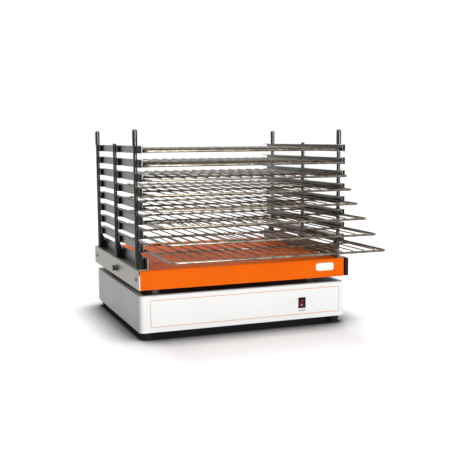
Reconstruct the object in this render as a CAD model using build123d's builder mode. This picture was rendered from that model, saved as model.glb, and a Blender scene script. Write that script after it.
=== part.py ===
"""Platelet agitator: a reciprocating tray on a motor base, carrying a rack of pull-out wire shelves.

Millimetres. X runs along the stroke (width), the front is -Y and Z is up.
The origin lies on the bench, midway between the four feet.
"""
import math
import os

from build123d import *

# ---------------------------------------------------------------- driving dimensions
# Motor base
base_width = 580
base_depth = 500
base_height = 95
sheet = 1.5
base_corner_radius = 12
base_edge = 2
floor_clearance = 0.3

# Feet
foot_height = 20
foot_top_radius = 17
foot_bottom_radius = 14.5
foot_inset_x = 24
foot_inset_y = 24

# Moving tray
tray_gap = 17
tray_height = 49
tray_half_depth = 262
tray_left = -291
tray_right = 286
tray_corner_radius = 12
tray_edge_radius = 4
end_plate_thickness = 3
end_plate_corner = 12
end_cap_depth = 9
end_cap_wall = 2.5
end_cap_corner = 3

# Posts of the rack
post_radius = 5
post_x = 286
post_front_y = -217
post_back_y = 226
corner_post_top = 525
middle_post_top = 494
sleeve_radius = 6.5
sleeve_length = 23
cap_length = 17
cap_edge = 3
post_edge = 1
fit = 0.1

# Runners: one channel per shelf and side
level_count = 8
top_level = 480
level_pitch = 35
channel_height = 18
channel_depth = 16
channel_wall = 1.5
channel_half_length = 253
channel_x = 279
block_front_reach = 36
block_back_reach = 9

# Post feet and the plate along each side of the rack
post_foot_height = 40
post_foot_inset = 10
post_foot_length = 20
side_plate_height = 29
side_plate_flange = 22
side_plate_wall = 2

# Wire shelves
shelf_frame_size = 6
shelf_side_clearance = 1
shelf_rest_clearance = 0.3
shelf_front = -250
shelf_back = 232
shelf_corner_radius = 11
shelf_corner_steps = 2
wire_size = 2.8
wire_count = 17
wire_pitch = 30
wire_overhang = 1.5
cross_rod_size = 5
cross_rod_count = 2
shelf_pull_outs = [0, 21, 40, 65, 98, 142, 190, 235]

# Guide rails and bearings under the tray
rail_radius = 6
rail_y = 150
rail_height = 35
rail_half_length = 236
rail_edge = 1
rail_support_x = 225
rail_support_size = 16
rail_support_width = 34
rail_cover = 9
bearing_x = 110
bearing_length = 42
bearing_width = 34
bearing_below = 11
running_fit = 0.05

# Crank drive
crank_radius = 18
crank_disc_radius = 30
crank_disc_thickness = 7
crank_gap = 2
crank_pin_radius = 3
roller_radius = 5
roller_length = 20
roller_end_gap = 1
shaft_radius = 5
shaft_hole_radius = 12
shaft_depth = 14
shaft_end_gap = 1
yoke_length_x = 44
yoke_length_y = 76
yoke_slot_width = 18.6
yoke_slot_depth = 24
yoke_gap = 5

# Gear motor
gearbox_width = 90
gearbox_depth = 70
gearbox_height = 28
motor_radius = 32
motor_length = 42

# Control board on stand-offs
board_width = 120
board_depth = 80
board_thickness = 1.6
board_side_margin = 80
board_back_margin = 100
board_hole_inset = 6
standoff_radius = 3
standoff_height = 10
transformer_length = 40
transformer_width = 34
transformer_height = 30
transformer_offset = -30
terminal_length = 16
terminal_width = 50
terminal_height = 12
terminal_offset = 32

# Rocker switch in the front panel
switch_x = 160
switch_z = 64.5
bezel_width = 21
bezel_height = 29
bezel_rim = 2
bezel_proud = 2
bezel_lip = 3.2
bezel_pocket = 10
switch_body_depth = 22
switch_clearance = 0.4
rocker_proud = 3.2
rocker_angle = 10
rocker_radius = 30
rocker_pivot_depth = 2
rocker_back_depth = 3
rocker_taper = 3
rocker_rim = 1
rocker_edge = 0.6

# Mains inlet in the back panel
inlet_x = -200
inlet_z = 62
inlet_width = 28
inlet_height = 20
inlet_flange = 4
inlet_flange_thickness = 2
inlet_depth = 24
inlet_recess = 16
inlet_wall = 2.5
inlet_pin_radius = 1.2
inlet_pin_pitch = 7
inlet_pin_width = 4
inlet_pin_drop = 1.5
inlet_earth_rise = 2
inlet_pin_base = 3

# Ventilation slots in the back panel
vent_x = 150
vent_count = 8
vent_pitch = 12
vent_width = 4
vent_height = 40

# Screws and bolt on the left end plate
end_screw_radius = 4.5
end_screw_height = 2.5
end_screw_y = 232
end_bolt_y = -28
end_bolt_radius = 8
end_bolt_length = 12
end_bolt_washer = 2
end_bolt_washer_radius = 10

# ---------------------------------------------------------------- derived places
base_bottom = foot_height
deck_top = base_bottom + base_height
tray_bottom = deck_top + tray_gap
tray_top = tray_bottom + tray_height
rail_z = deck_top + rail_height
tray_underside = tray_top - sheet
front_face = -base_depth / 2
back_face = base_depth / 2
tray_span = tray_right - tray_left
tray_centre_x = (tray_right + tray_left) / 2
post_places = {
    "front": post_front_y,
    "middle": (post_front_y + post_back_y) / 2,
    "back": post_back_y,
}
rack_bottom = tray_top + side_plate_wall
level_heights = [top_level - level_pitch * level for level in range(level_count)]
crank_disc_bottom = deck_top + crank_gap
crank_disc_top = crank_disc_bottom + crank_disc_thickness
yoke_bottom = crank_disc_top + yoke_gap
gearbox_top = deck_top - sheet

os.makedirs("parts", exist_ok=True)


def save(part, name):
    """Label one finished piece and write it as its own file."""
    part.label = name
    export_step(part, f"parts/{name}.step")


def extents(low_x, high_x, low_y, high_y, low_z, high_z):
    """Add a plain block between two corners to the current part."""
    middle = ((low_x + high_x) / 2, (low_y + high_y) / 2, (low_z + high_z) / 2)
    with Locations(middle):
        Box(high_x - low_x, high_y - low_y, high_z - low_z)


# ---------------------------------------------------------------- motor base
with BuildPart() as base_housing:
    with BuildSketch(Plane.XY.offset(base_bottom)):
        RectangleRounded(base_width, base_depth, base_corner_radius)
    extrude(amount=base_height)
    chamfer(base_housing.faces().sort_by(Axis.Z)[-1].edges(), base_edge)
    with BuildSketch(Plane.XY.offset(base_bottom)):
        RectangleRounded(base_width - 2 * sheet, base_depth - 2 * sheet, base_corner_radius - sheet)
    extrude(amount=base_height - sheet, mode=Mode.SUBTRACT)
    with BuildSketch(Plane.XY.offset(deck_top)):
        Circle(shaft_hole_radius)
    extrude(amount=-2 * sheet, mode=Mode.SUBTRACT)
    with BuildSketch(Plane.XZ.offset(-front_face)):
        with Locations((switch_x, switch_z)):
            Rectangle(bezel_width - 2 * bezel_rim, bezel_height - 2 * bezel_rim)
    extrude(amount=-2 * sheet, mode=Mode.SUBTRACT)
    with BuildSketch(Plane.XZ.offset(-back_face)):
        with Locations((inlet_x, inlet_z)):
            Rectangle(inlet_width, inlet_height)
        with Locations((vent_x, inlet_z)):
            with GridLocations(vent_pitch, 1, vent_count, 1):
                Rectangle(vent_width, vent_height)
    extrude(amount=2 * sheet, mode=Mode.SUBTRACT)
save(base_housing.part, "base_housing")

with BuildPart() as base_floor:
    inner_margin = 2 * (sheet + floor_clearance)
    with BuildSketch(Plane.XY.offset(base_bottom)):
        RectangleRounded(
            base_width - inner_margin,
            base_depth - inner_margin,
            base_corner_radius - sheet - floor_clearance,
        )
    extrude(amount=sheet)
save(base_floor.part, "base_floor")

foot_places = GridLocations(
    base_width - 2 * foot_inset_x, base_depth - 2 * foot_inset_y, 2, 2
)
with BuildPart() as rubber_feet:
    with BuildSketch(Plane.XY):
        Circle(foot_bottom_radius)
    with BuildSketch(Plane.XY.offset(foot_height)):
        Circle(foot_top_radius)
    loft(ruled=True)
feet = Compound(children=[rubber_feet.part.solid().moved(place) for place in foot_places.locations])
save(feet, "rubber_feet")

# ---------------------------------------------------------------- rails on the deck
for rail_name, side in (("guide_rail_front", -1), ("guide_rail_back", 1)):
    with BuildPart() as guide_rail:
        with BuildSketch(Plane.YZ.offset(-rail_half_length)):
            with Locations((side * rail_y, rail_z)):
                Circle(rail_radius)
        extrude(amount=2 * rail_half_length)
        chamfer(guide_rail.edges(), rail_edge)
    save(guide_rail.part, rail_name)

with BuildPart() as rail_supports:
    for side_x in (-1, 1):
        for side_y in (-1, 1):
            with BuildSketch(Plane.YZ.offset(side_x * rail_support_x)):
                with BuildLine():
                    low = Line(
                        (side_y * rail_y - rail_support_width / 2, deck_top),
                        (side_y * rail_y + rail_support_width / 2, deck_top),
                    )
                    Polyline(
                        low @ 1,
                        (side_y * rail_y + rail_radius + rail_cover, rail_z),
                        (side_y * rail_y + rail_radius, rail_z + rail_radius + rail_cover),
                        (side_y * rail_y - rail_radius, rail_z + rail_radius + rail_cover),
                        (side_y * rail_y - rail_radius - rail_cover, rail_z),
                        low @ 0,
                    )
                make_face()
                with Locations((side_y * rail_y, rail_z)):
                    RegularPolygon(
                        rail_radius + running_fit,
                        8,
                        major_radius=False,
                        rotation=22.5,
                        mode=Mode.SUBTRACT,
                    )
            extrude(amount=rail_support_size / 2, both=True)
save(rail_supports.part, "rail_supports")

# ---------------------------------------------------------------- drive
with BuildPart() as gear_motor:
    with BuildSketch(Plane.XY.offset(gearbox_top)):
        Rectangle(gearbox_width, gearbox_depth)
    extrude(amount=-gearbox_height)
    with BuildSketch(Plane.XY.offset(gearbox_top - gearbox_height)):
        Circle(motor_radius)
    extrude(amount=-motor_length)
    with BuildSketch(Plane.XY.offset(gearbox_top)):
        Circle(shaft_radius + running_fit)
    extrude(amount=-shaft_depth, mode=Mode.SUBTRACT)
save(gear_motor.part, "gear_motor")

with BuildPart() as crank_disc:
    with BuildSketch(Plane.XY.offset(crank_disc_bottom)):
        Circle(crank_disc_radius)
    extrude(amount=crank_disc_thickness)
    with BuildSketch(Plane.XY.offset(crank_disc_bottom)):
        Circle(shaft_radius)
    extrude(amount=-(crank_disc_bottom - gearbox_top + shaft_depth - shaft_end_gap))
    with BuildSketch(Plane.XY.offset(crank_disc_top)):
        with Locations((0, -crank_radius)):
            Circle(crank_pin_radius)
    extrude(amount=yoke_gap + roller_length)
save(crank_disc.part, "crank_disc")

with BuildPart() as crank_roller:
    with BuildSketch(Plane.XY.offset(yoke_bottom + roller_end_gap)):
        with Locations((0, -crank_radius)):
            Circle(roller_radius)
            Circle(crank_pin_radius + running_fit, mode=Mode.SUBTRACT)
    extrude(amount=roller_length - 2 * roller_end_gap)
save(crank_roller.part, "crank_roller")

with BuildPart() as drive_yoke:
    with BuildSketch(Plane.XY.offset(yoke_bottom)):
        Rectangle(yoke_length_x, yoke_length_y)
    extrude(amount=tray_underside - yoke_bottom)
    with BuildSketch(Plane.XY.offset(yoke_bottom)):
        SlotCenterToCenter(2 * crank_radius, yoke_slot_width, rotation=90)
    extrude(amount=yoke_slot_depth, mode=Mode.SUBTRACT)
save(drive_yoke.part, "drive_yoke")

# ---------------------------------------------------------------- board inside the base
board_x = -base_width / 2 + board_side_margin + board_width / 2
board_y = back_face - board_back_margin - board_depth / 2
board_bottom = base_bottom + sheet + standoff_height
board_top = board_bottom + board_thickness
with BuildPart() as control_board:
    with BuildSketch(Plane.XY.offset(board_bottom)):
        with Locations((board_x, board_y)):
            Rectangle(board_width, board_depth)
    extrude(amount=board_thickness)
    with BuildSketch(Plane.XY.offset(base_bottom + sheet)):
        with Locations((board_x, board_y)):
            with GridLocations(
                board_width - 2 * board_hole_inset, board_depth - 2 * board_hole_inset, 2, 2
            ):
                RegularPolygon(standoff_radius, 6)
    extrude(amount=standoff_height)
    with BuildSketch(Plane.XY.offset(board_top)):
        with Locations((board_x + transformer_offset, board_y)):
            Rectangle(transformer_length, transformer_width)
    extrude(amount=transformer_height)
    with BuildSketch(Plane.XY.offset(board_top)):
        with Locations((board_x + terminal_offset, board_y)):
            Rectangle(terminal_length, terminal_width)
    extrude(amount=terminal_height)
save(control_board.part, "control_board")

# ---------------------------------------------------------------- switch and inlet
with BuildPart() as switch_bezel:
    with BuildSketch(Plane.XZ.offset(-front_face)):
        with Locations((switch_x, switch_z)):
            Rectangle(bezel_width, bezel_height)
    extrude(amount=bezel_proud)
    with BuildSketch(Plane.XZ.offset(-front_face)):
        with Locations((switch_x, switch_z)):
            Rectangle(
                bezel_width - 2 * bezel_rim - 2 * switch_clearance,
                bezel_height - 2 * bezel_rim - 2 * switch_clearance,
            )
    extrude(amount=-switch_body_depth)
    with BuildSketch(Plane.XZ.offset(-front_face + bezel_proud)):
        with Locations((switch_x, switch_z)):
            Rectangle(bezel_width - 2 * bezel_lip, bezel_height - 2 * bezel_lip)
    extrude(amount=-(bezel_proud + bezel_pocket), mode=Mode.SUBTRACT)
save(switch_bezel.part, "switch_bezel")

rocker_pivot_y = front_face + rocker_pivot_depth
rocker_back_y = rocker_pivot_y + rocker_back_depth
rocker_rim_y = rocker_pivot_y - rocker_rim
rocker_face_y = rocker_rim_y - rocker_proud
rocker_half_height = bezel_height / 2 - bezel_lip - switch_clearance
rocker_half_width = bezel_width / 2 - bezel_lip - switch_clearance
with BuildPart() as switch_rocker:
    with BuildSketch(Plane.YZ.offset(switch_x - rocker_half_width)):
        with BuildLine():
            back = Line(
                (rocker_back_y, switch_z - rocker_half_height + rocker_taper),
                (rocker_back_y, switch_z + rocker_half_height - rocker_taper),
            )
            top = Line(back @ 1, (rocker_rim_y, switch_z + rocker_half_height))
            bottom = Line(back @ 0, (rocker_rim_y, switch_z - rocker_half_height))
            upper = Line(top @ 1, (rocker_face_y, switch_z + rocker_half_height - rocker_edge))
            lower = Line(bottom @ 1, (rocker_face_y, switch_z - rocker_half_height + rocker_edge))
            RadiusArc(upper @ 1, lower @ 1, rocker_radius)
        make_face()
    extrude(amount=2 * rocker_half_width)
rocker_pivot = Axis((switch_x, rocker_pivot_y, switch_z), (1, 0, 0))
save(switch_rocker.part.rotate(rocker_pivot, rocker_angle), "switch_rocker")

inlet_face = back_face + inlet_flange_thickness
with BuildPart() as power_inlet:
    with BuildSketch(Plane.XZ.offset(-back_face)):
        with Locations((inlet_x, inlet_z)):
            Rectangle(inlet_width + 2 * inlet_flange, inlet_height + 2 * inlet_flange)
    extrude(amount=-inlet_flange_thickness)
    with BuildSketch(Plane.XZ.offset(-back_face)):
        with Locations((inlet_x, inlet_z)):
            Rectangle(inlet_width - 2 * switch_clearance, inlet_height - 2 * switch_clearance)
    extrude(amount=inlet_depth)
    with BuildSketch(Plane.XZ.offset(-inlet_face)):
        with Locations((inlet_x, inlet_z)):
            Rectangle(inlet_width - 2 * inlet_wall, inlet_height - 2 * inlet_wall)
    extrude(amount=inlet_recess, mode=Mode.SUBTRACT)
    with BuildSketch(Plane.XZ.offset(-inlet_face + inlet_recess)):
        with Locations((inlet_x, inlet_z)):
            with Locations(
                (-inlet_pin_pitch, -inlet_pin_drop),
                (0, inlet_earth_rise),
                (inlet_pin_pitch, -inlet_pin_drop),
            ):
                Rectangle(2 * inlet_pin_radius, inlet_pin_width)
    extrude(amount=-(inlet_recess - inlet_pin_base))
save(power_inlet.part, "power_inlet")

# ---------------------------------------------------------------- moving tray
with BuildPart() as tray_pan:
    with BuildSketch(Plane.XY.offset(tray_bottom)):
        with Locations((tray_centre_x, 0)):
            Rectangle(tray_span, 2 * tray_half_depth)
    extrude(amount=tray_height)
    right_corners = tray_pan.edges().filter_by(Axis.Z).sort_by(Axis.X)[-2:]
    fillet(right_corners, tray_corner_radius)
    top_face = tray_pan.faces().sort_by(Axis.Z)[-1]
    bends = [edge for edge in top_face.edges() if edge.center().X > tray_left + sheet]
    fillet(bends, tray_edge_radius)
    with BuildSketch(Plane.XY.offset(tray_bottom)):
        with Locations((tray_centre_x - sheet / 2, 0)):
            Rectangle(tray_span - sheet, 2 * (tray_half_depth - sheet))
        right_inside = tray_right - sheet
        corner_vertices = [
            vertex for vertex in vertices() if abs(vertex.X - right_inside) < fit
        ]
        fillet(corner_vertices, tray_corner_radius - sheet)
    extrude(amount=tray_height - sheet, mode=Mode.SUBTRACT)
save(tray_pan.part, "tray_pan")

with BuildPart() as end_plate_left:
    with BuildSketch(Plane.YZ.offset(tray_left)):
        with Locations((0, (tray_bottom + tray_top) / 2)):
            Rectangle(2 * tray_half_depth, tray_height)
        low_back = vertices().sort_by(Axis.Y)[-2:].sort_by(Axis.Z)[0]
        chamfer(low_back, end_plate_corner)
    extrude(amount=-end_plate_thickness)
save(end_plate_left.part, "end_plate_left")

with BuildPart() as end_cap_right:
    with BuildSketch(Plane.YZ.offset(tray_right)):
        with Locations((0, (tray_bottom + tray_top) / 2)):
            RectangleRounded(2 * tray_half_depth, tray_height, end_cap_corner)
    extrude(amount=end_cap_depth)
    with BuildSketch(Plane.YZ.offset(tray_right)):
        with Locations((0, (tray_bottom + tray_top) / 2)):
            Rectangle(2 * (tray_half_depth - end_cap_wall), tray_height - 2 * end_cap_wall)
    extrude(amount=end_cap_depth - end_cap_wall, mode=Mode.SUBTRACT)
save(end_cap_right.part, "end_cap_right")

plate_face = tray_left - end_plate_thickness
plate_middle_z = (tray_bottom + tray_top) / 2
with BuildPart() as end_plate_screws:
    with BuildSketch(Plane.YZ.offset(plate_face)):
        with Locations((-end_screw_y, plate_middle_z), (end_screw_y, plate_middle_z)):
            Circle(end_screw_radius)
    extrude(amount=-end_screw_height)
save(end_plate_screws.part, "end_plate_screws")

with BuildPart() as end_plate_bolt:
    with BuildSketch(Plane.YZ.offset(plate_face)):
        with Locations((end_bolt_y, plate_middle_z)):
            Circle(end_bolt_washer_radius)
    extrude(amount=-end_bolt_washer)
    with BuildSketch(Plane.YZ.offset(plate_face - end_bolt_washer)):
        with Locations((end_bolt_y, plate_middle_z)):
            RegularPolygon(end_bolt_radius, 6)
    extrude(amount=-end_bolt_length)
save(end_plate_bolt.part, "end_plate_bolt")

with BuildPart() as bearing_blocks:
    for side_x in (-1, 1):
        for side_y in (-1, 1):
            extents(
                side_x * bearing_x - bearing_length / 2,
                side_x * bearing_x + bearing_length / 2,
                side_y * rail_y - bearing_width / 2,
                side_y * rail_y + bearing_width / 2,
                rail_z - bearing_below,
                tray_underside,
            )
    with BuildSketch(Plane.YZ.offset(-bearing_x - bearing_length)):
        with Locations((-rail_y, rail_z), (rail_y, rail_z)):
            Circle(rail_radius + running_fit)
    extrude(amount=2 * (bearing_x + bearing_length), mode=Mode.SUBTRACT)
save(bearing_blocks.part, "bearing_blocks")

# ---------------------------------------------------------------- rack
sides = {"left": -1, "right": 1}

for side_name, side in sides.items():
    for depth_name, place_y in post_places.items():
        top = middle_post_top if depth_name == "middle" else corner_post_top
        with BuildPart() as post:
            with BuildSketch(Plane.XY.offset(rack_bottom)):
                with Locations((side * post_x, place_y)):
                    Circle(post_radius)
            extrude(amount=top - rack_bottom)
            if depth_name == "middle":
                chamfer(post.edges().sort_by(Axis.Z)[-1], post_edge)
        save(post.part, f"post_{side_name}_{depth_name}")

sleeve_bottom = top_level + channel_height / 2 + 1
sleeve_top = sleeve_bottom + sleeve_length
corner_places = [(x, y) for x in (-post_x, post_x) for y in (post_front_y, post_back_y)]
with BuildPart() as post_sleeves:
    with BuildSketch(Plane.XY.offset(sleeve_bottom)):
        with Locations(*corner_places):
            Circle(sleeve_radius)
            RegularPolygon(post_radius + fit, 8, major_radius=False, mode=Mode.SUBTRACT)
    extrude(amount=sleeve_length)
save(post_sleeves.part, "post_sleeves")

with BuildPart() as post_caps:
    with BuildSketch(Plane.XY.offset(sleeve_top)):
        with Locations(*corner_places):
            Circle(sleeve_radius)
    extrude(amount=cap_length)
    chamfer(post_caps.faces().group_by(Axis.Z)[-1].edges(), cap_edge)
    with BuildSketch(Plane.XY.offset(sleeve_top)):
        with Locations(*corner_places):
            RegularPolygon(post_radius + fit, 8, major_radius=False)
    extrude(amount=corner_post_top - sleeve_top + fit, mode=Mode.SUBTRACT)
save(post_caps.part, "post_caps")

for side_name, side in sides.items():
    outer = side * channel_x
    inner = side * (channel_x - channel_wall)
    lip = side * (channel_x - channel_depth)
    for level, height in enumerate(level_heights, start=1):
        low = height - channel_height / 2
        high = height + channel_height / 2
        with BuildPart() as runner:
            with BuildSketch(Plane.XZ.offset(-channel_half_length)):
                with BuildLine():
                    Polyline(
                        (lip, low),
                        (outer, low),
                        (outer, high),
                        (lip, high),
                        (lip, high - channel_wall),
                        (inner, high - channel_wall),
                        (inner, low + channel_wall),
                        (lip, low + channel_wall),
                        close=True,
                    )
                make_face()
            extrude(amount=2 * channel_half_length)
        save(runner.part, f"runner_{side_name}_{level}")

    with BuildPart() as clamp_blocks:
        for height in level_heights:
            with BuildSketch(Plane.XY.offset(height - channel_height / 2)):
                for place_y in post_places.values():
                    block_y = place_y + (block_back_reach - block_front_reach) / 2
                    with Locations((side * (channel_x + post_x) / 2, block_y)):
                        Rectangle(post_x - channel_x, block_front_reach + block_back_reach)
                    with Locations((side * post_x, place_y)):
                        Rectangle(2 * (post_radius + fit), 2 * (post_radius + fit), mode=Mode.SUBTRACT)
            extrude(amount=channel_height)
    save(clamp_blocks.part, f"clamp_blocks_{side_name}")

    foot_inner = side * (channel_x - post_foot_inset)
    with BuildPart() as post_feet:
        for place_y in post_places.values():
            with BuildSketch(Plane.XZ.offset(-place_y)):
                with BuildLine():
                    Polyline(
                        (side * post_x, rack_bottom),
                        (foot_inner, rack_bottom),
                        (foot_inner, rack_bottom + post_foot_height / 3),
                        (side * channel_x, rack_bottom + post_foot_height),
                        (side * post_x, rack_bottom + post_foot_height),
                        close=True,
                    )
                make_face()
            extrude(amount=post_foot_length / 2, both=True)
        with BuildSketch(Plane.XY.offset(rack_bottom)):
            with Locations(*[(side * post_x, place_y) for place_y in post_places.values()]):
                RegularPolygon(post_radius + fit, 8, major_radius=False, rotation=22.5)
        extrude(amount=post_foot_height, mode=Mode.SUBTRACT)
    save(post_feet.part, f"post_feet_{side_name}")

    plate_outer = foot_inner
    plate_inner = plate_outer - side * side_plate_wall
    plate_toe = plate_outer + side * side_plate_flange
    with BuildPart() as side_plate:
        with BuildSketch(Plane.XZ.offset(-channel_half_length)):
            with BuildLine():
                Polyline(
                    (plate_inner, tray_top),
                    (plate_inner, tray_top + side_plate_height),
                    (plate_outer, tray_top + side_plate_height),
                    (plate_outer, rack_bottom),
                    (plate_toe, rack_bottom),
                    (plate_toe, tray_top),
                    close=True,
                )
            make_face()
        extrude(amount=2 * channel_half_length)
    save(side_plate.part, f"side_plate_{side_name}")

# ---------------------------------------------------------------- wire shelves
half_frame = shelf_frame_size / 2
shelf_half_width = channel_x - channel_wall - shelf_side_clearance - half_frame
shelf_middle_y = (shelf_front + shelf_back) / 2
shelf_depth = shelf_back - shelf_front
frame_chamfer = shelf_frame_size * (1 - math.sqrt(0.5))
shelf_drop = channel_height / 2 - channel_wall - half_frame - shelf_rest_clearance
cross_rod_spacing = shelf_depth / (cross_rod_count + 1)
cross_rod_reach = shelf_half_width - half_frame


def faceted_outline(half_x, half_y, radius):
    """Corner points of a rectangle whose round corners have a few flats each."""
    outline = []
    for quarter, (sign_x, sign_y) in enumerate(((1, 1), (-1, 1), (-1, -1), (1, -1))):
        for step in range(shelf_corner_steps + 1):
            angle = math.pi / 2 * (quarter + step / shelf_corner_steps)
            outline.append((
                sign_x * (half_x - radius) + radius * math.cos(angle),
                sign_y * (half_y - radius) + radius * math.sin(angle),
            ))
    return outline


with BuildPart() as shelf_frame:
    with BuildSketch(Plane.XY.offset(-half_frame)):
        with Locations((0, shelf_middle_y)):
            for reach, mode in ((half_frame, Mode.ADD), (-half_frame, Mode.SUBTRACT)):
                outline = faceted_outline(
                    shelf_half_width + reach, shelf_depth / 2 + reach, shelf_corner_radius + reach
                )
                Polygon(*outline, align=None, mode=mode)
    extrude(amount=shelf_frame_size)
    rims = shelf_frame.faces().sort_by(Axis.Z)[-1].edges() + shelf_frame.faces().sort_by(Axis.Z)[0].edges()
    chamfer(rims, frame_chamfer)

with BuildPart() as shelf_wires:
    with BuildSketch(Plane.XZ.offset(-shelf_back - wire_overhang)):
        with Locations((0, half_frame + wire_size / 2)):
            with GridLocations(wire_pitch, 1, wire_count, 1):
                Rectangle(wire_size, wire_size)
    extrude(amount=shelf_depth + 2 * wire_overhang)

with BuildPart() as shelf_cross_rods:
    with BuildSketch(Plane.YZ.offset(-cross_rod_reach)):
        with Locations((shelf_middle_y, half_frame - cross_rod_size / 2)):
            with GridLocations(cross_rod_spacing, 1, cross_rod_count, 1):
                RegularPolygon(cross_rod_size / 2, 8, major_radius=False, rotation=22.5)
    extrude(amount=2 * cross_rod_reach)

shelf_solids = [
    *shelf_frame.part.solids(),
    *shelf_wires.part.solids(),
    *shelf_cross_rods.part.solids(),
]
for level, (height, pull_out) in enumerate(zip(level_heights, shelf_pull_outs), start=1):
    place = Location((0, -pull_out, height - shelf_drop))
    save(Compound(children=[solid.moved(place) for solid in shelf_solids]), f"shelf_{level}")
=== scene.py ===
"""Looks of the platelet agitator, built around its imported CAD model.

Metres. X runs along the stroke, the front is -Y and Z is up, as in the CAD model.
"""
import math

import bmesh
import bpy
from mathutils import Matrix, Vector


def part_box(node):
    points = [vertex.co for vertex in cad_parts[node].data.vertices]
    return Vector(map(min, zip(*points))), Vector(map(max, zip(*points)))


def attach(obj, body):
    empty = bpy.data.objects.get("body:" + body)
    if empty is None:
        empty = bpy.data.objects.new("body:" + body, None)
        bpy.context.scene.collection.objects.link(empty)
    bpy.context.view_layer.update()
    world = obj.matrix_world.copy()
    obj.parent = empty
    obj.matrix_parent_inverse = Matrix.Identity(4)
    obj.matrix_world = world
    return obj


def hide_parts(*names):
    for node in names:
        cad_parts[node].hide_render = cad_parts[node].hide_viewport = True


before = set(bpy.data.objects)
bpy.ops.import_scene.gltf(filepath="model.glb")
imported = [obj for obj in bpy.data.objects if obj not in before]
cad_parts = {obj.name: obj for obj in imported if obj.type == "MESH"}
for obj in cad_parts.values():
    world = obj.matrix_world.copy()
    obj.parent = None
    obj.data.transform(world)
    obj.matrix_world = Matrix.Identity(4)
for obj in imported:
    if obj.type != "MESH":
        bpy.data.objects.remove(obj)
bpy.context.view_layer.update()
MM = 0.001

# ---------------------------------------------------------------- camera
image_size = 470
camera_place = (-0.79296, -2.18632, 0.50580)
camera_azimuth = math.radians(-21.424)
camera_elevation = math.radians(-6.793)
camera_roll = math.radians(-0.282)
focal_pixels = 808.533
sensor_width = 36.0
camera_reach = 50


def aim(azimuth, elevation, roll):
    """Rotation of a camera from its heading, its tilt and its roll."""
    ahead = Vector((
        -math.sin(azimuth) * math.cos(elevation),
        math.cos(azimuth) * math.cos(elevation),
        math.sin(elevation),
    ))
    right = Vector((math.cos(azimuth), math.sin(azimuth), 0))
    up = right.cross(ahead)
    right_rolled = right * math.cos(roll) + up * math.sin(roll)
    up_rolled = up * math.cos(roll) - right * math.sin(roll)
    return Matrix((right_rolled, up_rolled, -ahead)).transposed()


camera_data = bpy.data.cameras.new("camera")
camera_data.sensor_width = sensor_width
camera_data.lens = focal_pixels / image_size * sensor_width
camera_data.clip_end = camera_reach
camera = bpy.data.objects.new("camera", camera_data)
camera.matrix_world = (
    Matrix.Translation(camera_place)
    @ aim(camera_azimuth, camera_elevation, camera_roll).to_4x4()
)
bpy.context.scene.collection.objects.link(camera)
bpy.context.scene.camera = camera
bpy.context.scene.view_settings.view_transform = "Standard"

# ---------------------------------------------------------------- materials
noise_low, noise_high = 0.3, 0.7
cloud_detail, fine_detail, floor_detail = 4, 2, 3


def shader(name):
    """A new node material: its tree and its main shader."""
    made = bpy.data.materials.new(name)
    made.use_nodes = True
    tree = made.node_tree
    return made, tree, tree.nodes["Principled BSDF"]


def noise(tree, scale, detail, stretch=(1, 1, 1)):
    """Noise in object space; stretch above 1 squeezes it along that axis."""
    coordinates = tree.nodes.new("ShaderNodeTexCoord")
    mapping = tree.nodes.new("ShaderNodeMapping")
    mapping.inputs["Scale"].default_value = stretch
    texture = tree.nodes.new("ShaderNodeTexNoise")
    texture.inputs["Scale"].default_value = scale
    texture.inputs["Detail"].default_value = detail
    tree.links.new(coordinates.outputs["Object"], mapping.inputs["Vector"])
    tree.links.new(mapping.outputs["Vector"], texture.inputs["Vector"])
    return texture.outputs["Fac"]


def ramp(tree, value, low, high):
    """Colour between two shades, driven by noise."""
    node = tree.nodes.new("ShaderNodeValToRGB")
    node.color_ramp.elements[0].position = noise_low
    node.color_ramp.elements[1].position = noise_high
    node.color_ramp.elements[0].color = (*low, 1)
    node.color_ramp.elements[1].color = (*high, 1)
    tree.links.new(value, node.inputs["Fac"])
    return node.outputs["Color"]


def spread(tree, value, low, high, start=noise_low, end=noise_high):
    """A value mapped to a range of numbers."""
    node = tree.nodes.new("ShaderNodeMapRange")
    node.inputs["From Min"].default_value = start
    node.inputs["From Max"].default_value = end
    node.inputs["To Min"].default_value = low
    node.inputs["To Max"].default_value = high
    tree.links.new(value, node.inputs["Value"])
    return node.outputs["Result"]


def bump(tree, value, strength, distance):
    """A bump from a value."""
    node = tree.nodes.new("ShaderNodeBump")
    node.inputs["Strength"].default_value = strength
    node.inputs["Distance"].default_value = distance
    tree.links.new(value, node.inputs["Height"])
    return node.outputs["Normal"]


def arithmetic(tree, operation, first, second=0.0):
    """The result of a math node; each value is a number or another node's output."""
    node = tree.nodes.new("ShaderNodeMath")
    node.operation = operation
    for socket, value in zip(node.inputs, (first, second)):
        if isinstance(value, (int, float)):
            socket.default_value = value
        else:
            tree.links.new(value, socket)
    return node.outputs[0]


def seen_rays(tree):
    """One for camera, glossy and transmission rays, and nothing for all others."""
    rays = tree.nodes.new("ShaderNodeLightPath")
    total = rays.outputs["Is Camera Ray"]
    for name in ("Is Glossy Ray", "Is Transmission Ray"):
        total = arithmetic(tree, "MAXIMUM", total, rays.outputs[name])
    return total


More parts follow.
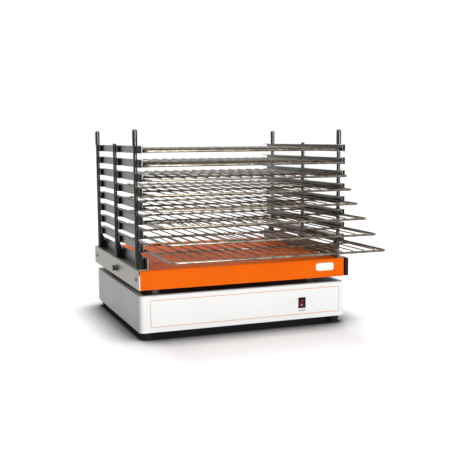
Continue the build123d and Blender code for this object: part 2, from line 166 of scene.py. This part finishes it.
def finish(name, low, high, rough, metallic=0.0, grain=60, stretch=(1, 1, 1),
           texture_scale=900, texture_strength=0.15, texture_stretch=(1, 1, 1),
           texture_depth=0.0002, coat=0.0, specular=0.5):
    """A finish with cloudy colour, uneven gloss and a fine surface texture."""
    made, tree, main = shader(name)
    cloud = noise(tree, grain, cloud_detail, stretch)
    tree.links.new(ramp(tree, cloud, low, high), main.inputs["Base Color"])
    tree.links.new(spread(tree, cloud, *rough), main.inputs["Roughness"])
    fine = noise(tree, texture_scale, fine_detail, texture_stretch)
    tree.links.new(bump(tree, fine, texture_strength, texture_depth), main.inputs["Normal"])
    main.inputs["Metallic"].default_value = metallic
    main.inputs["Coat Weight"].default_value = coat
    main.inputs["Specular IOR Level"].default_value = specular
    return made


finishes = {
    "white_paint": finish(
        "white_powder_coat", (0.83, 0.835, 0.84), (0.87, 0.87, 0.87), (0.42, 0.52),
        grain=9, texture_scale=1100, texture_strength=0.12, specular=0.3),
    "orange_paint": finish(
        "orange_powder_coat", (0.82, 0.122, 0.0), (0.87, 0.138, 0.0), (0.42, 0.52),
        grain=14, texture_scale=1100, texture_strength=0.12, specular=0.04),
    "black_paint": finish(
        "black_satin", (0.004, 0.004, 0.004), (0.009, 0.009, 0.009), (0.38, 0.50),
        grain=40, texture_scale=1300, texture_strength=0.1, specular=0.12),
    "stainless": finish(
        "brushed_stainless", (0.26, 0.255, 0.228), (0.335, 0.33, 0.302), (0.36, 0.48),
        metallic=0.85, grain=5, stretch=(40, 1, 60), texture_scale=12,
        texture_stretch=(60, 1, 120), texture_strength=0.25, texture_depth=0.0003),
    "polished_steel": finish(
        "dark_polished_steel", (0.030, 0.030, 0.032), (0.055, 0.054, 0.053), (0.16, 0.24),
        metallic=1.0, grain=60, stretch=(1, 1, 0.15), texture_scale=500,
        texture_stretch=(1, 1, 0.1), texture_strength=0.08),
    "bright_wire": finish(
        "bright_chrome_wire", (0.07, 0.060, 0.046), (0.25, 0.218, 0.170), (0.16, 0.28),
        metallic=1.0, grain=55, texture_scale=420, texture_strength=0.12),
    "aluminium": finish(
        "machined_aluminium", (0.50, 0.50, 0.51), (0.62, 0.62, 0.63), (0.30, 0.42),
        metallic=0.9, grain=8, stretch=(1, 8, 40), texture_scale=60,
        texture_stretch=(1, 4, 30), texture_strength=0.2),
    "rubber": finish(
        "black_rubber", (0.005, 0.005, 0.005), (0.012, 0.011, 0.011), (0.68, 0.85),
        grain=70, texture_scale=1500, texture_strength=0.35, specular=0.2),
    "black_plastic": finish(
        "black_moulded_plastic", (0.005, 0.005, 0.005), (0.011, 0.011, 0.012), (0.42, 0.54),
        grain=60, texture_scale=2200, texture_strength=0.3, specular=0.1),
    "nylon_white": finish(
        "white_nylon", (0.70, 0.69, 0.65), (0.78, 0.77, 0.73), (0.45, 0.55),
        grain=50, texture_scale=1500, texture_strength=0.15),
    "motor_grey": finish(
        "grey_cast_paint", (0.10, 0.105, 0.11), (0.14, 0.145, 0.15), (0.45, 0.6),
        grain=60, texture_scale=600, texture_strength=0.4),
    "board_green": finish(
        "solder_mask_green", (0.008, 0.09, 0.035), (0.015, 0.13, 0.05), (0.25, 0.4),
        grain=90, texture_scale=500, texture_strength=0.2),
    "red_rocker": finish(
        "dark_red_lens", (0.055, 0.002, 0.006), (0.11, 0.003, 0.011), (0.14, 0.24),
        grain=120, texture_scale=900, texture_strength=0.05, coat=0.15, specular=0.3),
}
runner_steel = finish(
    "runner_steel", (0.078, 0.081, 0.072), (0.165, 0.166, 0.150), (0.30, 0.44),
    metallic=0.9, grain=9, stretch=(1, 1, 30), texture_scale=14,
    texture_stretch=(1, 1, 90), texture_strength=0.25, texture_depth=0.0003)
film_white = finish(
    "panel_film", (0.85, 0.85, 0.845), (0.88, 0.88, 0.875), (0.34, 0.42),
    grain=12, texture_scale=1600, texture_strength=0.06, specular=0.3)
border_orange = finish(
    "border_ink", (0.68, 0.24, 0.02), (0.74, 0.29, 0.03), (0.40, 0.50),
    grain=50, texture_scale=1600, texture_strength=0.05, specular=0.15)
mark_ink = finish(
    "mark_ink", (0.02, 0.02, 0.025), (0.05, 0.05, 0.06), (0.4, 0.5),
    grain=80, texture_scale=1600, texture_strength=0.05, specular=0.2)
mark_white = finish(
    "mark_white", (0.70, 0.69, 0.68), (0.80, 0.79, 0.78), (0.4, 0.5),
    grain=80, texture_scale=1600, texture_strength=0.05)
screw_steel = finish(
    "dark_screw_steel", (0.09, 0.085, 0.075), (0.22, 0.21, 0.185), (0.25, 0.4),
    metallic=1.0, grain=300, texture_scale=1500, texture_strength=0.2)


def painted_shade_patch(made, half_x, half_y, above, colour):
    """Painted shade over a paint: a flat colour inside a rectangle and higher than a level."""
    tree = made.node_tree
    base_colour = tree.nodes["Principled BSDF"].inputs["Base Color"]
    paint = base_colour.links[0].from_socket
    coordinates = tree.nodes.new("ShaderNodeTexCoord")
    axes = tree.nodes.new("ShaderNodeSeparateXYZ")
    tree.links.new(coordinates.outputs["Object"], axes.inputs["Vector"])
    across = arithmetic(tree, "ABSOLUTE", axes.outputs["X"])
    along = arithmetic(tree, "ABSOLUTE", axes.outputs["Y"])
    inside_x = arithmetic(tree, "LESS_THAN", across, half_x)
    inside_y = arithmetic(tree, "LESS_THAN", along, half_y)
    inside = arithmetic(tree, "MULTIPLY", inside_x, inside_y)
    high = arithmetic(tree, "GREATER_THAN", axes.outputs["Z"], above)
    mix = tree.nodes.new("ShaderNodeMix")
    mix.data_type = "RGBA"
    colours = [socket for socket in mix.inputs if socket.type == "RGBA"]
    results = [socket for socket in mix.outputs if socket.type == "RGBA"]
    tree.links.new(arithmetic(tree, "MULTIPLY", inside, high), mix.inputs["Factor"])
    tree.links.new(paint, colours[0])
    colours[1].default_value = (*colour, 1)
    tree.links.new(results[0], base_colour)


base_low, base_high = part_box("base_housing")
deck_shade_margin = 14 * MM
deck_shade_layer = 0.5 * MM
deck_painted_shade = (0.006, 0.006, 0.006)
# Painted shade: the base deck top under the tray, inside a margin from its edges, is painted
# near black for the shade in the gap.
painted_shade_patch(finishes["white_paint"], base_high.x - deck_shade_margin, base_high.y - deck_shade_margin,
       base_high.z - deck_shade_layer, deck_painted_shade)

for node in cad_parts.values():
    for place in node.material_slots:
        place.material = finishes[place.material.name]
for name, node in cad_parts.items():
    if name.startswith(("runner_", "side_plate_")):
        node.material_slots[0].material = runner_steel
    if name in ("end_plate_bolt", "end_plate_screws"):
        node.material_slots[0].material = screw_steel

# ---------------------------------------------------------------- mesh helpers


def piece(name, mesh, material, body, place=(0, 0, 0)):
    """A new mesh object that rides on a body and belongs to a slot."""
    made = bpy.data.objects.new(name, mesh)
    made.location = place
    bpy.context.scene.collection.objects.link(made)
    if not mesh.materials:
        mesh.materials.append(material)
    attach(made, body)
    return made


def mesh_from(bm, name, smooth=True):
    """A mesh made from a bmesh, with outward faces."""
    bmesh.ops.recalc_face_normals(bm, faces=bm.faces)
    mesh = bpy.data.meshes.new(name)
    bm.to_mesh(mesh)
    bm.free()
    if smooth:
        mesh.shade_smooth()
    return mesh


def join_rings(bm, pairs):
    """Faces between each pair of rings of points."""
    for first, second in pairs:
        sides = len(first)
        for step in range(sides):
            following = (step + 1) % sides
            bm.faces.new((first[step], first[following], second[following], second[step]))


def wire(bm, points, radius, sides=12, closed=False, end_round=0.0):
    """A round wire along points that lie in one level plane, with rounded ends if asked."""
    rings = []
    radii = [radius] * len(points)
    if end_round:
        along = (points[-1] - points[0]).normalized() * end_round
        points = [points[0], points[0] + along, *points[1:-1], points[-1] - along, points[-1]]
        radii = [radius - end_round, radius, *radii[1:-1], radius, radius - end_round]
    count = len(points)
    for index, point in enumerate(points):
        before = points[index - 1] if index or closed else point
        after = points[(index + 1) % count] if index < count - 1 or closed else point
        along = (after - before).normalized()
        across = along.cross(Vector((0, 0, 1)))
        upright = across.cross(along)
        ring = []
        for step in range(sides):
            angle = 2 * math.pi * step / sides
            offset = across * math.cos(angle) + upright * math.sin(angle)
            ring.append(bm.verts.new(point + offset * radii[index]))
        rings.append(ring)
    pairs = list(zip(rings, rings[1:]))
    if closed:
        pairs.append((rings[-1], rings[0]))
    join_rings(bm, pairs)
    if not closed:
        bm.faces.new(rings[0])
        bm.faces.new(rings[-1])


def rounded_outline(half_x, half_y, radius, steps=6):
    """Points of a rectangle with round corners, around the origin."""
    points = []
    for corner, (sign_x, sign_y) in enumerate(((1, 1), (-1, 1), (-1, -1), (1, -1))):
        for step in range(steps + 1):
            angle = math.pi / 2 * (corner + step / steps)
            points.append(Vector((
                sign_x * (half_x - radius) + radius * math.cos(angle),
                sign_y * (half_y - radius) + radius * math.sin(angle),
                0,
            )))
    return points


def outlined_plate(name, loops, thickness):
    """A thin plate from closed outlines; an outline inside another one is a hole."""
    curve = bpy.data.curves.new(name, "CURVE")
    curve.dimensions = "2D"
    curve.fill_mode = "BOTH"
    curve.extrude = thickness / 2
    for loop in loops:
        spline = curve.splines.new("POLY")
        spline.points.add(len(loop) - 1)
        for spot, point in zip(spline.points, loop):
            spot.co = (point.x, point.y, 0, 1)
        spline.use_cyclic_u = True
    holder = bpy.data.objects.new(name, curve)
    mesh = bpy.data.meshes.new_from_object(holder)
    bpy.data.objects.remove(holder)
    mesh.materials.clear()
    return mesh


def front_plate(name, loops, centre, thickness, material, body):
    """A thin plate that stands on a front face, with its back on that face."""
    mesh = outlined_plate(name, loops, thickness)
    turn = Matrix.Rotation(math.radians(90), 4, "X")
    place = Vector(centre) - Vector((0, thickness / 2, 0))
    mesh.transform(Matrix.Translation(place) @ turn)
    return piece(name, mesh, material, body)


border_rise = 0.05 * MM


def bordered_film(name, half_size, corner, border, centre, thickness, body,
                  holes=()):
    """A white film on a front face, with an orange border that stands a little higher."""
    outer = rounded_outline(*half_size, corner)
    inner = rounded_outline(half_size[0] - border, half_size[1] - border, corner - border)
    front_plate(f"{name}_film", [inner, *holes], centre, thickness,
                film_white, body)
    front_plate(f"{name}_border", [outer, inner], centre, thickness + border_rise,
                border_orange, body)


# ---------------------------------------------------------------- wire shelves
shelf_count = 8
shelf_rod = 3 * MM
shelf_rod_sides = 16
shelf_corner = 11 * MM
shelf_corner_steps = 8
cross_rod = 2.5 * MM
cross_rod_lift = shelf_rod - cross_rod
fine_wire = 1.4 * MM
fine_wire_sides = 10
fine_wire_count = 17
fine_wire_pitch = 30 * MM
fine_wire_lift = shelf_rod + fine_wire
fine_wire_overhang = 1.5 * MM
fine_wire_end = 0.5 * MM
shelf_low, shelf_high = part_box("shelf_1")
half_width = (shelf_high.x - shelf_low.x) / 2 - shelf_rod
half_depth = (shelf_high.y - shelf_low.y) / 2 - shelf_rod
wire_reach = half_depth + fine_wire_overhang
cross_rod_place = half_depth / 3

shelf_bm = bmesh.new()
shelf_outline = rounded_outline(half_width, half_depth, shelf_corner, shelf_corner_steps)
wire(shelf_bm, shelf_outline, shelf_rod, shelf_rod_sides, closed=True)
for index in range(fine_wire_count):
    across = (index - (fine_wire_count - 1) / 2) * fine_wire_pitch
    front = Vector((across, -wire_reach, fine_wire_lift))
    back = Vector((across, wire_reach, fine_wire_lift))
    wire(shelf_bm, [front, back], fine_wire, fine_wire_sides, end_round=fine_wire_end)
for depth in (-cross_rod_place, cross_rod_place):
    left = Vector((-half_width, depth, cross_rod_lift))
    right = Vector((half_width, depth, cross_rod_lift))
    wire(shelf_bm, [left, right], cross_rod)
shelf_mesh = mesh_from(shelf_bm, "wire_shelf")

for level in range(1, shelf_count + 1):
    low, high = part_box(f"shelf_{level}")
    made = piece(f"wire_shelf_{level}", shelf_mesh, finishes["bright_wire"],
                 f"shelf_{level}",
                 ((low.x + high.x) / 2, (low.y + high.y) / 2, low.z + shelf_rod))
    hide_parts(f"shelf_{level}")

# ---------------------------------------------------------------- front panel film
panel_left, panel_right = -262.5 * MM, 273.8 * MM
panel_low, panel_high = 33 * MM, 102.5 * MM
panel_corner = 4 * MM
panel_border_width = 1.3 * MM
panel_thickness = 0.25 * MM
panel_centre = ((panel_left + panel_right) / 2, base_low.y, (panel_low + panel_high) / 2)
panel_half = ((panel_right - panel_left) / 2, (panel_high - panel_low) / 2)
switch_low, switch_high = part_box("switch_bezel")
switch_centre = (switch_low + switch_high) / 2
hole_half = (8.5 * MM, 12.5 * MM)
hole_corner = 0.5 * MM
hole_corner_steps = 3
hole_shift = Vector((switch_centre.x - panel_centre[0], switch_centre.z - panel_centre[2], 0))
switch_hole = [
    point + hole_shift
    for point in rounded_outline(*hole_half, hole_corner, hole_corner_steps)
]
bordered_film("panel", panel_half, panel_corner, panel_border_width, panel_centre,
              panel_thickness, "base", [switch_hole])

# ---------------------------------------------------------------- bare label on the tray
tray_low, tray_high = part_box("tray_pan")
label_centre = (222.5 * MM, tray_low.y, 161.1 * MM)
label_half = (28 * MM, 11.5 * MM)
label_corner = 8 * MM
label_border_width = 1.1 * MM
label_thickness = 0.4 * MM
bordered_film("label", label_half, label_corner, label_border_width, label_centre,
              label_thickness, "carriage")

# ---------------------------------------------------------------- marks on the switch
letter_depth = 0.1 * MM
letter_weight = 0.12 * MM
capital_share = 0.7
rocker_mark_height = 3.2 * MM
rocker_mark_offset = 6 * MM
switch_mark_height = 3.8 * MM
switch_mark_drop = 7 * MM
ray_start_y = -1


def lettering(text, height):
    """Flat letters as a mesh, centred on the origin, in the XY plane."""
    curve = bpy.data.curves.new("letters", "FONT")
    curve.body = text
    curve.size = height / capital_share
    curve.align_x = "CENTER"
    curve.align_y = "CENTER"
    curve.extrude = letter_depth
    curve.offset = letter_weight
    holder = bpy.data.objects.new("letters", curve)
    mesh = bpy.data.meshes.new_from_object(holder)
    bpy.data.objects.remove(holder)
    mesh.materials.clear()
    return mesh


def mark_on_front(name, text, height, node, z, material, body, lift=0.0):
    """Letters in line with the switch, on the surface that a ray from the front meets."""
    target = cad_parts[node]
    inverse = target.matrix_world.inverted()
    start = inverse @ Vector((switch_centre.x, ray_start_y, z))
    heading = (inverse.to_3x3() @ Vector((0, 1, 0))).normalized()
    _, spot, normal, _ = target.ray_cast(start, heading)
    spot = target.matrix_world @ spot
    normal = (target.matrix_world.to_3x3() @ normal).normalized()
    right = Vector((1, 0, 0))
    turn = Matrix((right, normal.cross(right), normal)).transposed().to_4x4()
    mesh = lettering(text, height)
    mesh.transform(Matrix.Translation(spot + normal * lift) @ turn)
    return piece(name, mesh, material, body)


mark_on_front("rocker_mark_on", "I", rocker_mark_height, "switch_rocker",
              switch_centre.z + rocker_mark_offset, mark_white, "rocker")
mark_on_front("rocker_mark_off", "O", rocker_mark_height, "switch_rocker",
              switch_centre.z - rocker_mark_offset, mark_white, "rocker")
mark_on_front("switch_mark", "ON/OFF", switch_mark_height, "base_housing",
              switch_low.z - switch_mark_drop, mark_ink, "base",
              lift=panel_thickness)

# ---------------------------------------------------------------- screws on the tray
tray_screw_radius = 3 * MM
tray_screw_height = 2 * MM
tray_screw_sides = 20
tray_screw_places = ((-221 * MM, -143 * MM), (-212 * MM, -147 * MM))
screw_profile = ((1, 0), (1, 0.45), (0.8, 0.85), (0.4, 1))


def pan_head(name, place, radius, height, sides, body):
    """A pan-head screw that stands on a level face; its profile is in shares of its size."""
    bm = bmesh.new()
    rings = []
    for reach, rise in screw_profile:
        ring = []
        for step in range(sides):
            angle = 2 * math.pi * step / sides
            ring.append(bm.verts.new((
                reach * radius * math.cos(angle),
                reach * radius * math.sin(angle),
                rise * height,
            )))
        rings.append(ring)
    join_rings(bm, list(zip(rings, rings[1:])))
    bm.faces.new(rings[0])
    bm.faces.new(rings[-1])
    mesh = mesh_from(bm, name)
    mesh.transform(Matrix.Translation(place))
    return piece(name, mesh, screw_steel, body)


for number, (x, y) in enumerate(tray_screw_places, 1):
    pan_head(f"tray_screw_{number}", (x, y, tray_high.z), tray_screw_radius,
             tray_screw_height, tray_screw_sides, "carriage")

# ---------------------------------------------------------------- floor and light
floor_half_size = 6
floor_cells = 8
floor_noise_scale = 3
floor_shades = ((0.92, 0.92, 0.92), (0.94, 0.94, 0.94))
floor_bounce_grey = (0.42, 0.42, 0.42, 1)
floor_glow = 0.22
# Reach and levels of the painted contact shadow on the floor.
painted_shadow_reach = 150 * MM
painted_shadow_samples = 12
painted_shadow_closed, painted_shadow_open = 0.46, 0.92
painted_shadow_dark, painted_shadow_light = 0.03, 1.0
white = (1, 1, 1, 1)
ambient_strength = 0.14
backdrop_strength = 1.0
key_towards, key_strength, key_width = (0.16, -0.97, 0.10), 2.9, 20
top_towards, top_strength, top_width = (0.02, 0.15, 1.0), 2.45, 34


def floor_finish():
    """White floor with a painted contact shadow, darker close to what stands on it; it sends
    less light up than it shows.
    """
    made = bpy.data.materials.new("floor_white")
    made.use_nodes = True
    tree = made.node_tree
    tree.nodes.clear()
    # Painted shadow: ambient occlusion darkens the floor's colour and glow close to what
    # stands on it.
    corners = tree.nodes.new("ShaderNodeAmbientOcclusion")
    corners.samples = painted_shadow_samples
    corners.inputs["Distance"].default_value = painted_shadow_reach
    painted_shadow = spread(tree, corners.outputs["AO"], painted_shadow_dark, painted_shadow_light,
                     painted_shadow_closed, painted_shadow_open)
    shade = tree.nodes.new("ShaderNodeVectorMath")
    shade.operation = "SCALE"
    cloud = noise(tree, floor_noise_scale, floor_detail)
    tree.links.new(ramp(tree, cloud, *floor_shades), shade.inputs[0])
    tree.links.new(painted_shadow, shade.inputs["Scale"])
    diffuse = tree.nodes.new("ShaderNodeBsdfDiffuse")
    tree.links.new(shade.outputs["Vector"], diffuse.inputs["Color"])
    glow = tree.nodes.new("ShaderNodeEmission")
    glow_level = arithmetic(tree, "MULTIPLY", painted_shadow, floor_glow)
    tree.links.new(arithmetic(tree, "MULTIPLY", seen_rays(tree), glow_level),
                   glow.inputs["Strength"])
    seen = tree.nodes.new("ShaderNodeAddShader")
    tree.links.new(diffuse.outputs[0], seen.inputs[0])
    tree.links.new(glow.outputs[0], seen.inputs[1])
    bounce = tree.nodes.new("ShaderNodeBsdfDiffuse")
    bounce.inputs["Color"].default_value = floor_bounce_grey
    rays = tree.nodes.new("ShaderNodeLightPath")
    choice = tree.nodes.new("ShaderNodeMixShader")
    tree.links.new(rays.outputs["Is Diffuse Ray"], choice.inputs["Fac"])
    tree.links.new(seen.outputs[0], choice.inputs[1])
    tree.links.new(bounce.outputs[0], choice.inputs[2])
    output = tree.nodes.new("ShaderNodeOutputMaterial")
    tree.links.new(choice.outputs[0], output.inputs["Surface"])
    return made


def studio_world():
    """An even white surround that lights the object less than it shows."""
    made = bpy.data.worlds.new("studio")
    made.use_nodes = True
    tree = made.node_tree
    ambient = tree.nodes["Background"]
    ambient.inputs["Color"].default_value = white
    ambient.inputs["Strength"].default_value = ambient_strength
    backdrop = tree.nodes.new("ShaderNodeBackground")
    backdrop.inputs["Color"].default_value = white
    backdrop.inputs["Strength"].default_value = backdrop_strength
    choice = tree.nodes.new("ShaderNodeMixShader")
    tree.links.new(seen_rays(tree), choice.inputs["Fac"])
    tree.links.new(ambient.outputs[0], choice.inputs[1])
    tree.links.new(backdrop.outputs[0], choice.inputs[2])
    tree.links.new(choice.outputs[0], tree.nodes["World Output"].inputs["Surface"])
    return made


def sun(name, towards, strength, softness):
    """A soft far lamp that shines from a direction; softness is its width in degrees."""
    data = bpy.data.lights.new(name, "SUN")
    data.energy = strength
    data.angle = math.radians(softness)
    lamp = bpy.data.objects.new(name, data)
    lamp.rotation_euler = (-Vector(towards)).to_track_quat("-Z", "Y").to_euler()
    bpy.context.scene.collection.objects.link(lamp)


floor_bm = bmesh.new()
bmesh.ops.create_grid(floor_bm, x_segments=floor_cells, y_segments=floor_cells,
                      size=floor_half_size)
floor = bpy.data.objects.new("floor", mesh_from(floor_bm, "floor", smooth=False))
floor.data.materials.append(floor_finish())
bpy.context.scene.collection.objects.link(floor)
bpy.context.scene.world = studio_world()
sun("key", key_towards, key_strength, key_width)
sun("top", top_towards, top_strength, top_width)
